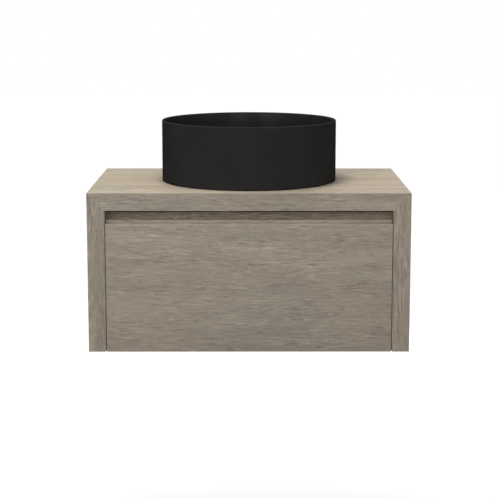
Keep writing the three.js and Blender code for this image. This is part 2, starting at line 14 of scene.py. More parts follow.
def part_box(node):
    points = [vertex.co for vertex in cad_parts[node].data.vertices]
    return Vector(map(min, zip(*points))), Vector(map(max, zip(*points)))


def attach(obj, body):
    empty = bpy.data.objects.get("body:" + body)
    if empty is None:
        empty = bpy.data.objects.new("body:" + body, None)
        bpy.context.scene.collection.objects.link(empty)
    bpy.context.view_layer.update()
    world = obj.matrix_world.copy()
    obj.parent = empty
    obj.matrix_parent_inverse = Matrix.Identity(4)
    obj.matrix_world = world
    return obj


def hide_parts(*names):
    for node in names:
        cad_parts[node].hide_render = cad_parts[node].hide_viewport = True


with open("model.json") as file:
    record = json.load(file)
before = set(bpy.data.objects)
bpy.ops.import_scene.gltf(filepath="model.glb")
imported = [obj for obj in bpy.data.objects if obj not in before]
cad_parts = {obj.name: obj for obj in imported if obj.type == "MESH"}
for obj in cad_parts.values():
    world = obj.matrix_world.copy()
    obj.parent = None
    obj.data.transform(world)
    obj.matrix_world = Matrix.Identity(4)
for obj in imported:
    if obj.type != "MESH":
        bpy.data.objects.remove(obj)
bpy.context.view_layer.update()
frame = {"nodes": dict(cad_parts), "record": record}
NODES = frame["nodes"]
RECORD = frame["record"]
BODY_OF = {n: body for body, members in RECORD["behaviour"]["bodies"].items() for n in members}
SLOT_OF = {part["node"]: part["material_slot"] for part in RECORD["subparts"]}
MM = 0.001
WHITE = (1, 1, 1, 1)

# ---- Node helpers ----


def make_node(tree, kind, values=None, links=None, **settings):
    """A node with its settings, its sockets' values and what is linked into it."""
    node = tree.nodes.new(kind)
    for key, value in settings.items():
        setattr(node, key, value)
    for key, value in (values or {}).items():
        node.inputs[key].default_value = value
    for key, source in (links or {}).items():
        tree.links.new(source, node.inputs[key])
    return node


def new_material(name, roughness, metallic=0.0, specular=0.5):
    """A new material, its node tree and its Principled shader."""
    material = bpy.data.materials.new(name)
    material.use_nodes = True
    tree = material.node_tree
    shader = tree.nodes["Principled BSDF"]
    shader.inputs["Roughness"].default_value = roughness
    shader.inputs["Metallic"].default_value = metallic
    shader.inputs["Specular IOR Level"].default_value = specular
    return material, tree, shader


def object_place(tree):
    return make_node(tree, "ShaderNodeTexCoord").outputs["Object"]


def mapped(tree, vector, **values):
    """A vector through a mapping node with the given Location, Rotation or Scale."""
    return make_node(tree, "ShaderNodeMapping", values, {"Vector": vector}).outputs[0]


def stretched(tree, *scale):
    """Object coordinates scaled by one factor for all axes, or by one for each axis."""
    return mapped(tree, object_place(tree), Scale=scale * 3 if len(scale) == 1 else scale)


def noise(tree, vector, detail, roughness=0.6, distortion=0.0):
    values = {"Scale": 1.0, "Detail": detail, "Roughness": roughness, "Distortion": distortion}
    return make_node(tree, "ShaderNodeTexNoise", values, {"Vector": vector}).outputs["Fac"]


def ramp(tree, source, *stops):
    """Colour ramp with stops (position, (r, g, b))."""
    node = make_node(tree, "ShaderNodeValToRGB", links={"Fac": source})
    band = node.color_ramp
    while len(band.elements) < len(stops):
        band.elements.new(0.5)
    for element, (position, colour) in zip(band.elements, stops):
        element.position = position
        element.color = (*colour, 1)
    return node.outputs["Color"]


def grey(value):
    return (value,) * 3


def grey_ramp(tree, source, *stops):
    return ramp(tree, source, *[(position, grey(value)) for position, value in stops])


def mix(tree, kind, factor, first, second):
    """Colour mix of the given blend type; the factor and the colours may be sockets or values."""
    node = make_node(tree, "ShaderNodeMix", data_type="RGBA", blend_type=kind)
    sockets = {"Factor": node.inputs[0], "A": node.inputs[6], "B": node.inputs[7]}
    for key, value in (("Factor", factor), ("A", first), ("B", second)):
        if isinstance(value, bpy.types.NodeSocket):
            tree.links.new(value, sockets[key])
        else:
            sockets[key].default_value = value
    return node.outputs[2]


def product(tree, first, second):
    return mix(tree, "MULTIPLY", 1.0, first, second)


def bump(tree, shader, height, distance, strength=0.5):
    values = {"Distance": distance, "Strength": strength}
    node = make_node(tree, "ShaderNodeBump", values, {"Height": height})
    tree.links.new(node.outputs[0], shader.inputs["Normal"])


def map_range(tree, source, low, high, start=0.0, end=1.0, **settings):
    """A value that goes from low to high as the source goes from start to end."""
    values = {"From Min": start, "From Max": end, "To Min": low, "To Max": high}
    return make_node(tree, "ShaderNodeMapRange", values, {"Value": source}, **settings).outputs[0]


def shader_mix(tree, factor, first, second):
    both = make_node(tree, "ShaderNodeMixShader", links={"Fac": factor})
    tree.links.new(first.outputs[0], both.inputs[1])
    tree.links.new(second.outputs[0], both.inputs[2])
    return both.outputs[0]


# ---- Materials ----
ALONG_X = (0, 0, 0)
ALONG_Z = (0, math.radians(90), 0)
OAK_WARM = (0.431, 0.365, 0.295)
OAK_COOL = (0.406, 0.357, 0.2955)
SWAY = 22 * MM


def toned(colour, tone):
    return tuple(channel * part for channel, part in zip(colour, tone))


def oak(name, turn, shift, tone=(1, 1, 1), contrast=0.85):
    """Bleached grey-brown oak veneer, its grain along X before the turn.

    The shift picks the stretch of veneer, the tone scales its colour and the contrast its figure.
    """
    material, tree, shader = new_material(name, roughness=0.62, specular=0.07)
    lying = mapped(tree, object_place(tree), Rotation=turn, Location=shift)
    long_wave = mapped(tree, lying, Scale=(3.3, 6, 6))
    drift = make_node(tree, "ShaderNodeTexNoise", {"Scale": 1.0, "Detail": 1.0}, {"Vector": long_wave})
    sway = {1: (0, SWAY, SWAY)}
    links = {0: drift.outputs["Color"], 2: lying}
    wavy = make_node(tree, "ShaderNodeVectorMath", sway, links, operation="MULTIPLY_ADD").outputs[0]

    def grain(along, across, **settings):
        return noise(tree, mapped(tree, wavy, Scale=(along, across, across)), **settings)

    def shade(source, *stops):
        scaled = [(position, 1 + (value - 1) * contrast) for position, value in stops]
        return grey_ramp(tree, source, *scaled)

    clouds = grain(1.6, 6, detail=2, distortion=0.6)
    flames = grain(2.6, 15, detail=2, distortion=0.9)
    bands = grain(5, 52, detail=2, distortion=0.4)
    patches = grain(8, 34, detail=2, distortion=0.5)
    streaks = grain(30, 430, detail=3, distortion=0.2)
    fibres = grain(70, 1100, detail=3, roughness=0.7, distortion=0.3)
    pores = grain(100, 520, detail=2, roughness=0.5, distortion=0.2)

    strong = map_range(tree, patches, 0.5, 1.0, start=0.38, end=0.62)
    streak_stops = ((0.28, 0.50), (0.40, 0.82), (0.47, 0.98), (0.53, 1.02), (0.60, 1.18), (0.72, 1.55))
    fine = shade(fibres, (0.30, 0.84), (0.70, 1.16))
    open_pores = mix(tree, "MIX", strong, WHITE, shade(pores, (0.28, 0.55), (0.37, 1.0)))
    layers = (
        shade(flames, (0.36, 0.92), (0.50, 1.0), (0.64, 1.07)),
        shade(bands, (0.32, 0.93), (0.50, 1.0), (0.68, 1.06)),
        mix(tree, "MIX", strong, WHITE, shade(streaks, *streak_stops)),
        fine,
        open_pores,
    )
    base = ramp(tree, clouds, (0.40, toned(OAK_COOL, tone)), (0.60, toned(OAK_WARM, tone)))
    for layer in layers:
        base = product(tree, base, layer)
    tree.links.new(base, shader.inputs["Base Color"])
    tree.links.new(map_range(tree, streaks, 0.70, 0.54), shader.inputs["Roughness"])
    bump(tree, shader, product(tree, open_pores, fine), 0.12 * MM)
    return material


def speckled(name, colour, fleck, roughness, scale, specular=0.5, depth=0.02, cloud=0.05):
    """A plain moulded, glazed or painted surface with fine flecks and a very low relief."""
    material, tree, shader = new_material(name, roughness, specular=specular)
    grain = noise(tree, stretched(tree, scale), detail=3, roughness=0.7)
    base = ramp(tree, grain, (0.35, colour), (0.62, colour), (0.75, fleck))
    soft = noise(tree, stretched(tree, 16), detail=3)
    base = product(tree, base, grey_ramp(tree, soft, (0.3, 1 - cloud), (0.7, 1 + cloud)))
    tree.links.new(base, shader.inputs["Base Color"])
    spread = map_range(tree, grain, roughness - 0.05, roughness + 0.06)
    tree.links.new(spread, shader.inputs["Roughness"])
    bump(tree, shader, grain, depth * MM)
    return material


def rolled_metal(name, colour, roughness):
    """Plated sheet, with drawing lines along X and the zinc's faint crystals."""
    material, tree, shader = new_material(name, roughness, metallic=1.0)
    lines = noise(tree, stretched(tree, 5, 900, 900), detail=3, roughness=0.7)
    crystals = make_node(tree, "ShaderNodeTexVoronoi", {"Scale": 1.0}, {"Vector": stretched(tree, 150)})
    split = make_node(tree, "ShaderNodeSeparateColor", links={"Color": crystals.outputs["Color"]})
    base = ramp(tree, lines, (0.3, toned(colour, grey(0.86))), (0.7, colour))
    base = product(tree, base, grey_ramp(tree, split.outputs[0], (0.1, 0.86), (0.9, 1.06)))
    tree.links.new(base, shader.inputs["Base Color"])
    spread = map_range(tree, lines, roughness - 0.04, roughness + 0.08)
    tree.links.new(spread, shader.inputs["Roughness"])
    bump(tree, shader, lines, 0.02 * MM, 0.4)
    return material


def linen_board(name, light, dark):
    """Melamine with a woven linen print: fine crossed threads with slubs."""
    material, tree, shader = new_material(name, roughness=0.55, specular=0.3)
    fine, long = 1500, 45
    threads = []
    for scale in ((fine, long, long), (long, fine, long), (long, long, fine)):
        threads.append(noise(tree, stretched(tree, *scale), detail=2))
    weave = mix(tree, "MIX", 0.5, threads[0], threads[1])
    weave = mix(tree, "MIX", 0.35, weave, threads[2])
    soft = noise(tree, stretched(tree, 7), detail=2)
    base = ramp(tree, weave, (0.42, dark), (0.58, light))
    base = product(tree, base, grey_ramp(tree, soft, (0.3, 0.95), (0.7, 1.04)))
    tree.links.new(base, shader.inputs["Base Color"])
    bump(tree, shader, weave, 0.05 * MM)
    return material


DRAWER_VENEER = (0.09, 1.4, 2.83)
# The finger rail's oak is darkened and browned: painted shade for the recess under the top panel.
RAIL_PAINTED_SHADE = (0.92, 0.87, 0.82)
MATTE_BLACK = (0.0292, 0.0294, 0.0298)
GLAZE_BLACK = (0.0185, 0.0185, 0.018)
MATERIALS = {
    "oak_across": oak("oak_across", ALONG_X, (1.96, 1.85, 0.47)),
    "oak_drawer": oak("oak_drawer", ALONG_X, DRAWER_VENEER, tone=(1.05, 1.033, 1.03)),
    # A lighter copy of the drawer oak: a painted highlight for the lip's upper arris.
    "oak_painted_highlight": oak("oak_painted_highlight", ALONG_X, DRAWER_VENEER, tone=(1.34, 1.30, 1.29)),
    "oak_rail": oak("oak_rail", ALONG_X, (0.8, 0.1, 0.35), tone=RAIL_PAINTED_SHADE, contrast=1.4),
    "oak_upright": oak("oak_upright", ALONG_Z, (0.2, 0.6, 0.1), contrast=1.0),
    "carcass_board": linen_board("carcass_board", (0.46, 0.43, 0.39), (0.37, 0.345, 0.31)),
    "drawer_board": linen_board("drawer_board", (0.20, 0.19, 0.18), (0.135, 0.127, 0.12)),
    "black_ceramic": speckled(
        "black_ceramic", MATTE_BLACK, (0.05, 0.05, 0.048), 0.7, 650, specular=0.0, cloud=0.09
    ),
    "black_glaze": speckled(
        "black_glaze", GLAZE_BLACK, (0.028, 0.028, 0.027), 0.16, 650, specular=0.115
    ),
    "black_metal": speckled("black_metal", grey(0.016), grey(0.03), 0.42, 1500, specular=0.3),
    "zinc_steel": rolled_metal("zinc_steel", (0.50, 0.52, 0.54), 0.44),
    "ball_steel": rolled_metal("ball_steel", (0.75, 0.76, 0.78), 0.2),
    "rubber": speckled("rubber", grey(0.012), grey(0.03), 0.8, 900, specular=0.2),
    "silicone": speckled("silicone", (0.012, 0.012, 0.011), grey(0.02), 0.6, 500, specular=0.2),
    "white_plastic": speckled(
        "white_plastic", (0.80, 0.80, 0.77), (0.74, 0.74, 0.71), 0.42, 400, depth=0.03
    ),
    "grey_plastic": speckled(
        "grey_plastic", (0.14, 0.142, 0.145), grey(0.18), 0.5, 1300, depth=0.05
    ),
}

# ---- Mesh helpers ----
SHARP_ANGLE = 30
SMOOTH_ANGLE = 35
WELD = 1e-6
ON_AXIS = 1e-6
FACETS_PER_RIB = 8
RIB_DEPTH = 1.6
RIB_SQUARENESS = 3


def add_piece(name, mesh, material, body, replaced=(), smooth_angle=SMOOTH_ANGLE):
    """Puts a mesh into the scene as a piece of the object that rides on a body."""
    mesh.polygons.foreach_set("use_smooth", [True] * len(mesh.polygons))
    mesh.set_sharp_from_angle(angle=math.radians(smooth_angle))
    mesh.materials.clear()
    mesh.materials.append(MATERIALS[material])
    piece = bpy.data.objects.new(name, mesh)
    bpy.context.scene.collection.objects.link(piece)
    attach(piece, body)
    if replaced:
        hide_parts(*replaced)
    return piece


def finish_node(node, mesh, material=None, smooth_angle=SMOOTH_ANGLE):
    """Adds a mesh as the finished form of one CAD node."""
    slot = SLOT_OF[node]
    return add_piece(f"{node}_finish", mesh, material or slot, BODY_OF[node], [node], smooth_angle)


def mesh_of(solid, name):
    """The closed solid as a mesh, with its faces turned outwards."""
    if solid.calc_volume(signed=True) < 0:
        bmesh.ops.reverse_faces(solid, faces=solid.faces)
    mesh = bpy.data.meshes.new(name)
    solid.to_mesh(mesh)
    solid.free()
    return mesh


def clean_copy(node):
    """The CAD node's solid as a bmesh with its flat faces joined."""
    solid = bmesh.new()
    solid.from_mesh(NODES[node].data)
    bmesh.ops.remove_doubles(solid, verts=solid.verts, dist=WELD)
    flat = math.radians(0.6)
    bmesh.ops.dissolve_limit(solid, angle_limit=flat, verts=solid.verts, edges=solid.edges)
    return solid


def is_sharp(edge):
    return len(edge.link_faces) == 2 and edge.calc_face_angle(0) > math.radians(SHARP_ANGLE)


def on_mitre(edge):
    """Whether an edge lies in one of the two mitre planes of the casing."""
    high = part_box("top_panel")[1]
    plane = high.x - high.z
    return all(abs(abs(v.co.x) - v.co.z - plane) < 0.5 * MM for v in edge.verts)


def refined(node, bevel, material=None, segments=2):
    """The CAD node with its sharp edges eased, in place of the plain one."""
    solid = clean_copy(node)
    bmesh.ops.bevel(
        solid,
        geom=[edge for edge in solid.edges if is_sharp(edge) and not on_mitre(edge)],
        offset=bevel,
        segments=segments,
        profile=0.5,
        affect="EDGES",
        clamp_overlap=True,
    )
    return finish_node(node, mesh_of(solid, node), material)


def rounded(corners, steps=6):
    """Closed outline through corners (x, y, radius), with an arc where a radius is given."""
    outline = []
    for index, (x, y, *rest) in enumerate(corners):
        corner = Vector((x, y))
        radius = rest[0] if rest else 0
        if not radius:
            outline.append(corner)
            continue
        before = (Vector(corners[index - 1][:2]) - corner).normalized()
        after = (Vector(corners[(index + 1) % len(corners)][:2]) - corner).normalized()
        half = before.angle(after) / 2
        centre = corner + (before + after).normalized() * radius / math.sin(half)
        start = corner + before * radius / math.tan(half) - centre
        turn = math.copysign(math.pi - 2 * half, -before.cross(after))
        for step in range(steps + 1):
            arm = start.copy()
            arm.rotate(Matrix.Rotation(turn * step / steps, 2))
            outline.append(centre + arm)
    return outline


def pressed_in(angle, ribs):
    """How far a hand grip's surface lies below its ribs at an angle."""
    wave = math.tanh(RIB_SQUARENESS * math.cos(ribs * angle)) / math.tanh(RIB_SQUARENESS)
    return RIB_DEPTH * (1 - wave) / 2


def turned(corners, centre, axis="Z", facets=96, ribs=0, rib_from=0, steps=6):
    """A closed (radius, height) outline in millimetres turned about an axis through centre.

    Points at or beyond the radius rib_from are pressed in between the ribs of a hand grip.
    """
    facets = ribs * FACETS_PER_RIB or facets
    solid = bmesh.new()
    rings = []
    for radius, height in rounded(corners, steps):
        if radius < ON_AXIS:
            angles = [0]
        else:
            angles = [2 * math.pi * k / facets for k in range(facets)]
        ring = []
        for angle in angles:
            reach = radius
            if ribs and radius >= rib_from:
                reach -= pressed_in(angle, ribs)
            across, up = reach * math.cos(angle), reach * math.sin(angle)
            local = Vector((across, up, height)) if axis == "Z" else Vector((across, height, up))
            ring.append(solid.verts.new(Vector(centre) + local * MM))
        rings.append(ring)
    for first, second in zip(rings, rings[1:] + rings[:1]):
        if len(first) == 1 and len(second) == 1:
            continue
        for k in range(facets):
            corners_of_face = [
                first[k % len(first)],
                first[(k + 1) % len(first)],
                second[(k + 1) % len(second)],
                second[k % len(second)],
            ]
            solid.faces.new(dict.fromkeys(corners_of_face))
    bmesh.ops.recalc_face_normals(solid, faces=solid.faces)
    return solid


def combined(base, others, operation):
    """A mesh with other meshes joined to it or cut from it."""
    holder = bpy.data.objects.new("base", base)
    bpy.context.scene.collection.objects.link(holder)
    tools = []
    for other in others:
        tool = bpy.data.objects.new("tool", other)
        bpy.context.scene.collection.objects.link(tool)
        step = holder.modifiers.new("step", "BOOLEAN")
        step.operation = operation
        step.solver = "EXACT"
        step.object = tool
        tools.append(tool)
    graph = bpy.context.evaluated_depsgraph_get()
    result = bpy.data.meshes.new_from_object(holder.evaluated_get(graph))
    for used in (holder, *tools):
        bpy.data.objects.remove(used)
    return result


def block(size, centre=(0, 0, 0), turn=0):
    """A box in millimetres, turned about the Z axis through its centre and then moved."""
    solid = bmesh.new()
    bmesh.ops.create_cube(solid, size=1)
    bmesh.ops.scale(solid, vec=[length * MM for length in size], verts=solid.verts)
    bmesh.ops.rotate(solid, matrix=Matrix.Rotation(turn, 3, "Z"), verts=solid.verts)
    bmesh.ops.translate(solid, vec=[place * MM for place in centre], verts=solid.verts)
    return solid


def box_centre(node):
    low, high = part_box(node)
    return (low + high) / 2


def box_size(node):
    low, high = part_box(node)
    return (high - low) / MM


def ends(node, axis="Z"):
    """Where a node starts and ends along an axis, in millimetres."""
    low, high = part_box(node)
    index = "XYZ".index(axis)
    return low[index] / MM, high[index] / MM


# ---- Casing ----
PANEL_EASE = 0.5 * MM
BOARD_EASE = 0.4 * MM
ARRIS_LEAN = 0.2


def build_casing():
    """The oak casing; the pull lip's upper arris faces get a lighter oak, a painted highlight."""
    refined("top_panel", PANEL_EASE, "oak_across")
    refined("side_panel_left", PANEL_EASE, "oak_upright")
    refined("side_panel_right", PANEL_EASE, "oak_upright")
    front = refined("drawer_front", BOARD_EASE, "oak_drawer")
    front.data.materials.append(MATERIALS["oak_painted_highlight"])
    # Faces that lean up and forward, the lip's upper arris, get the painted highlight.
    for face in front.data.polygons:
        if face.normal.y < -ARRIS_LEAN and face.normal.z > ARRIS_LEAN:
            face.material_index = 1
    refined("finger_rail", BOARD_EASE, "oak_rail")
    for node in ("base_panel", "hanging_rail"):
        refined(node, BOARD_EASE)


# ---- Basin ----
AXIS = Vector((*box_centre("basin").xy, 0))


def on_axis(height):
    return (AXIS.x, AXIS.y, height)


def build_basin():
    """A thin-walled round vessel with a shallow recess underneath; its inside has a smoother glaze."""
    low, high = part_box("basin")
    radius = box_size("basin").x / 2
    tall = box_size("basin").z
    wall = 6
    rim = 2.6
    outlet = 22.5
    inner_foot, outer_foot, recess = 44, 182, 4
    seat, seat_floor = 34, 11
    profile = [
        (outlet, 0),
        (inner_foot, 0),
        (inner_foot + recess, recess),
        (outer_foot - recess, recess),
        (outer_foot, 0),
        (radius, 0, 1.5),
        (radius, tall, rim),
        (radius - wall, tall, rim),
        (radius - wall - 3, 17.5, 42),
        (seat, seat_floor + 2, 1.8),
        (seat, seat_floor),
        (outlet, seat_floor),
    ]
    mesh = mesh_of(turned(profile, on_axis(low.z), facets=240, steps=10), "basin")
    piece = finish_node("basin", mesh)
    piece.data.materials.append(MATERIALS["black_glaze"])
    inside = (radius - wall + 0.5) * MM
    bottom = low.z + 10 * MM
    top = high.z - rim * MM
    for face in mesh.polygons:
        reach = (Vector(face.center) - AXIS).xy.length
        if reach < inside and bottom < face.center.z < top:
            face.material_index = 1


# ---- Waste and trap, turned about the basin's axis or about the outlet's ----
TAIL = 20.5
TAIL_BORE = 17
PIPE = 16
PIPE_BORE = 14.4
NECK = 20
SOCKET = 19
BOTTLE = 31
BOTTLE_BORE = 28.5
PLAY = 0.4
NUT_RIBS = 12
CUP_RIBS = 24
SEAL_EASE = 0.3 * MM


def upright(node, corners, **settings):
    """A node turned about the basin's axis; heights are in the frame, in millimetres."""
    return finish_node(node, mesh_of(turned(corners, on_axis(0), **settings), node))


def outlet_centre():
    return (AXIS.x, 0, box_centre("trap_outlet_pipe").z)


def level(node, corners, **settings):
    """A node turned about the outlet's axis, which runs along Y."""
    return finish_node(node, mesh_of(turned(corners, outlet_centre(), "Y", **settings), node))


def ring(inner, outer, low, high, ease):
    """Section of a ring with eased edges."""
    return [(inner, low, ease), (outer, low, ease), (outer, high, ease), (inner, high, ease)]


def thread(start, pitch, turns, root, crest):
    """Section of a screw thread's flanks, drawn as rings."""
    corners = []
    for turn in range(turns):
        foot = start + turn * pitch
        corners += [(root, foot), (crest, foot + pitch / 2)]
    return corners


def build_waste():
    low, high = ends("waste_body")
    root = TAIL - 0.7
    flange = 32.5
    seat = high - 2.4
    tube = [
        (TAIL_BORE, low),
        (root, low),
        *thread(low + 1, pitch=2, turns=15, root=root, crest=TAIL),
        (TAIL, seat),
        (flange, seat),
        (flange, high, 1),
        (30, high, 0.8),
        (19, high - 2, 1.5),
        (TAIL_BORE, high - 5),
    ]
    hub_low, hub_high = 6, 22
    hub = mesh_of(turned(ring(4.5, 8, hub_low, hub_high, 0.4), on_axis(0)), "hub")
    spokes = []
    for index in range(3):
        spoke = block(size=(12, 2.4, 12), centre=(12.5, 0, (hub_low + hub_high) / 2))
        spin = Matrix.Rotation(index * 2 * math.pi / 3 + math.pi / 2, 4, "Z")
        bmesh.ops.transform(spoke, matrix=Matrix.Translation(AXIS) @ spin, verts=spoke.verts)
        spokes.append(mesh_of(spoke, "spoke"))
    body = mesh_of(turned(tube, on_axis(0)), "tube")
    finish_node("waste_body", combined(body, [hub, *spokes], "UNION"))

    low, high = ends("waste_plug")
    cap = high - 4.6
    stem = 4
    groove = 21.2
    brim = 29
    plug = [
        (0, low),
        (stem, low, 1),
        (stem, cap - 1.6),
        (groove, cap - 1.6),
        (groove, cap),
        (brim, cap, 0.6),
        (brim, cap + 2.4, 1.4),
        (14, cap + 4.2, 60),
        (0, high),
    ]
    upright("waste_plug", plug)
    for node in ("waste_upper_seal", "waste_lower_seal", "waste_plug_seal"):
        refined(node, SEAL_EASE)
    refined("waste_backnut", bevel=0.7 * MM)


def nut_section(radius, low, high, wide, shoulder):
    """A nut with a wide bore and a narrow one, which meet at a shoulder inside it.

    The shoulder lies that far below the high end or, if it is negative, that far above the low end.
    """
    if shoulder > 0:
        step = high - shoulder
        bore = [(PIPE + PLAY, high), (PIPE + PLAY, step), (wide, step), (wide, low)]
    else:
        step = low - shoulder
        bore = [(wide, high), (wide, step), (PIPE + PLAY, step), (PIPE + PLAY, low)]
    return [(radius, low, 1.2), (radius, high, 1.2), *bore]


def build_trap_nuts():
    low, high = ends("trap_inlet_nut")
    section = nut_section(27, low, high, TAIL + PLAY, shoulder=-5)
    upright("trap_inlet_nut", section, ribs=NUT_RIBS, rib_from=25)
    low, high = ends("trap_neck_nut")
    section = nut_section(25.5, low, high, NECK + PLAY, shoulder=5.7)
    upright("trap_neck_nut", section, ribs=NUT_RIBS, rib_from=24)
    low, high = ends("trap_outlet_nut", "Y")
    section = nut_section(25.5, low, high, SOCKET + PLAY, shoulder=4.7)
    level("trap_outlet_nut", section, ribs=NUT_RIBS, rib_from=24)


def build_dip_tube():
    low, high = ends("trap_dip_tube")
    collar = high - 2.6
    wide = 19.8
    dip = [
        (PIPE_BORE, low),
        (PIPE, low),
        (PIPE, collar),
        (wide, collar),
        (wide, high),
        (PIPE_BORE, high),
    ]
    upright("trap_dip_tube", dip)
    for node in ("trap_inlet_seal", "trap_cup_seal"):
        refined(node, SEAL_EASE)


# Other facets than the bottle's, so that no two edges fall together in the boolean.
SIDE_FACETS = 90


def build_bottle():
    """The trap's body: a bottle with a socket on its side, cut open into the bottle."""
    low, high = ends("trap_body")
    bottle = [
        (PIPE + PLAY, high, 0.4),
        (NECK, high, 0.6),
        (NECK, high - 14, 1.5),
        (BOTTLE, high - 19, 5),
        (BOTTLE, low, 0.5),
        (BOTTLE_BORE, low),
        (BOTTLE_BORE, high - 22, 3),
        (PIPE + PLAY, high - 17),
    ]
    axis_y = AXIS.y / MM
    socket = ring(PIPE + PLAY, SOCKET, axis_y + 23.9, ends("trap_body", "Y")[1], 0.4)
    inner, outer = axis_y + 10, axis_y + 40
    throat = [(0, inner), (PIPE_BORE, inner), (PIPE_BORE, outer), (0, outer)]
    body = mesh_of(turned(bottle, on_axis(0)), "bottle")
    for section, operation in ((socket, "UNION"), (throat, "DIFFERENCE")):
        tool = turned(section, outlet_centre(), "Y", facets=SIDE_FACETS)
        body = combined(body, [mesh_of(tool, "side")], operation)
    finish_node("trap_body", body)


def build_cup():
    """The cup that screws onto the bottle, with a ribbed collar to grip it by."""
    low, high = ends("trap_cup")
    shelf = high - 16
    bowl = 33.4
    collar = 35
    bore = BOTTLE + PLAY
    floor = low + 3
    cup = [
        (0, low),
        (25, low, 6),
        (bowl, shelf - 6, 6),
        (bowl, shelf - 3.6, 0.3),
        (collar, shelf - 3, 0.5),
        (collar, high - 3, 0.6),
        (bowl, high - 2.6, 0.3),
        (bowl, high, 0.4),
        (bore, high, 0.3),
        (bore, shelf),
        (BOTTLE_BORE, shelf),
        (BOTTLE_BORE, shelf - 10, 5),
        (22, floor, 4),
        (0, floor),
    ]
    upright("trap_cup", cup, ribs=CUP_RIBS, rib_from=34)


def build_outlet():
    low, high = ends("trap_outlet_pipe", "Y")
    level("trap_outlet_pipe", ring(PIPE_BORE, PIPE, low, high, 0.3))
    low, high = ends("wall_escutcheon", "Y")
    dome = [
        (PIPE + PLAY, low, 0.3),
        (20, low, 1.5),
        (36, high - 3.8, 8),
        (38, high),
        (35.5, high),
        (PIPE + PLAY, high - 11.8),
    ]
    level("wall_escutcheon", dome)


# ---- Drawer box and the surround of the trap ----


def build_drawer_box():
    for node in ("drawer_subfront", "drawer_bottom"):
        refined(node, BOARD_EASE)
    for side in ("left", "right"):
        refined(f"drawer_side_{side}", BOARD_EASE)
        refined(f"drawer_back_{side}", BOARD_EASE)
        front, rear = ends(f"front_bumper_{side}", "Y")
        centre = box_centre(f"front_bumper_{side}")
        bumper = [(0, front), (3, front, 0.8), (4, rear), (0, rear)]
        mesh = mesh_of(turned(bumper, (centre.x, 0, centre.z), "Y", facets=48), "bumper")
        finish_node(f"front_bumper_{side}", mesh)


def surround_section(wall, low, floor, high):
    """Section of the surround: distances outwards from its inner face, and heights."""
    foot = wall + 8
    brim = wall + 6
    ease = 0.6
    return [
        (0, low),
        (wall, low),
        (wall, floor + 0.2),
        (foot, floor + 0.2),
        (foot, floor + 3),
        (wall, floor + 3.4),
        (wall, high - 4),
        (brim, high - 3),
        (brim, high - ease),
        (brim - ease, high),
        (ease, high),
        (0, high - ease),
    ]


def build_siphon_surround():
    """A moulded U round the trap: its section is swept along the U, with flanges short of its ends."""
    low, high = ends("siphon_surround")
    rear = ends("siphon_surround", "Y")[1]
    flange_rear = rear - 16.3
    wall = 4
    full = surround_section(wall, low, ends("drawer_bottom")[1], high)
    plain = [(min(out, wall), height) for out, height in full]
    radius = 75
    axis_y = AXIS.y / MM
    right = [(rear, plain), (flange_rear, plain), (flange_rear, full)]
    stations = [((radius, y), (1, 0), section) for y, section in right]
    steps = 48
    for step in range(steps + 1):
        angle = -math.pi * step / steps
        out = (math.cos(angle), math.sin(angle))
        stations.append(((radius * out[0], axis_y + radius * out[1]), out, full))
    stations += [((-radius, y), (-1, 0), section) for y, section in reversed(right)]

    solid = bmesh.new()
    rings = []
    for (x, y), (out_x, out_y), section in stations:
        points = [(x + out_x * out, y + out_y * out, height) for out, height in section]
        rings.append([solid.verts.new(Vector(point) * MM) for point in points])
    for first, second in zip(rings, rings[1:]):
        for k in range(len(full)):
            after = (k + 1) % len(full)
            solid.faces.new([first[k], first[after], second[after], second[k]])
    solid.faces.new(rings[0])
    solid.faces.new(rings[-1])
    bmesh.ops.remove_doubles(solid, verts=solid.verts, dist=WELD)
    bmesh.ops.dissolve_degenerate(solid, edges=solid.edges, dist=WELD / 10)
    bmesh.ops.recalc_face_normals(solid, faces=solid.faces)
    finish_node("siphon_surround", mesh_of(solid, "siphon_surround"))


# ---- Runners ----
BALLS_IN_ROW = 11
BALL_PITCH = 14 * MM
BALL_RADIUS = 2 * MM


def build_runners():
    for side in ("left", "right"):
        for member in ("cabinet", "middle", "drawer"):
            refined(f"runner_{member}_member_{side}", bevel=0.25 * MM, segments=1)
        build_cage(f"outer_ball_cage_{side}", 19, 4.2)
        build_cage(f"inner_ball_cage_{side}", 13.2, 2.8)


def build_cage(node, off_axis, ball_from_web):
    """The cage's strip from CAD with two rows of round balls, one above and one below its axis."""
    low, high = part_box(node)
    centre = (low + high) / 2
    left = centre.x < 0
    ball_x = low.x + ball_from_web * MM if left else high.x - ball_from_web * MM
    ball = {"u_segments": 16, "v_segments": 10, "radius": BALL_RADIUS}
    strip = clean_copy(node)
    for index in range(BALLS_IN_ROW):
        y = centre.y + (index - (BALLS_IN_ROW - 1) / 2) * BALL_PITCH
        for row in (-off_axis, off_axis):
            spot = Matrix.Translation((ball_x, y, centre.z + row * MM))
            bmesh.ops.create_uvsphere(strip, matrix=spot, **ball)
    finish_node(node, mesh_of(strip, node), smooth_angle=30)


# ---- Wall hanging ----


def build_hanging():
    refined("wall_rail", bevel=0.3 * MM)
    for side in ("left", "right"):
        refined(f"hanger_{side}", bevel=0.8 * MM)
        refined(f"hanger_hook_{side}", bevel=0.3 * MM)
    refined("basin_bedding", bevel=0.2 * MM)


# ---- Fasteners ----
RECESS_TURN = 0.3


def crossed_head(section, radius, top, deep):
    """A round head with a cross recess; the turn keeps its corners off the head's facet edges."""
    head = mesh_of(turned(section, (0, 0, 0), facets=32, steps=4), "head")
    size = (1.3 * radius, 0.28 * radius, 2 * deep)
    bars = []
    for turn in (RECESS_TURN, RECESS_TURN + math.pi / 2):
        bars.append(mesh_of(block(size, (0, 0, top), turn), "bar"))
    return combined(head, bars, "DIFFERENCE")


def pan_head(radius, high):
    shank = radius * 0.6
    crown = (radius, high, radius * 0.55)
    section = [(0, -1), (shank, -1), (shank, 0), (radius, 0), crown, (0, high)]
    return crossed_head(section, radius, high, 1.2)


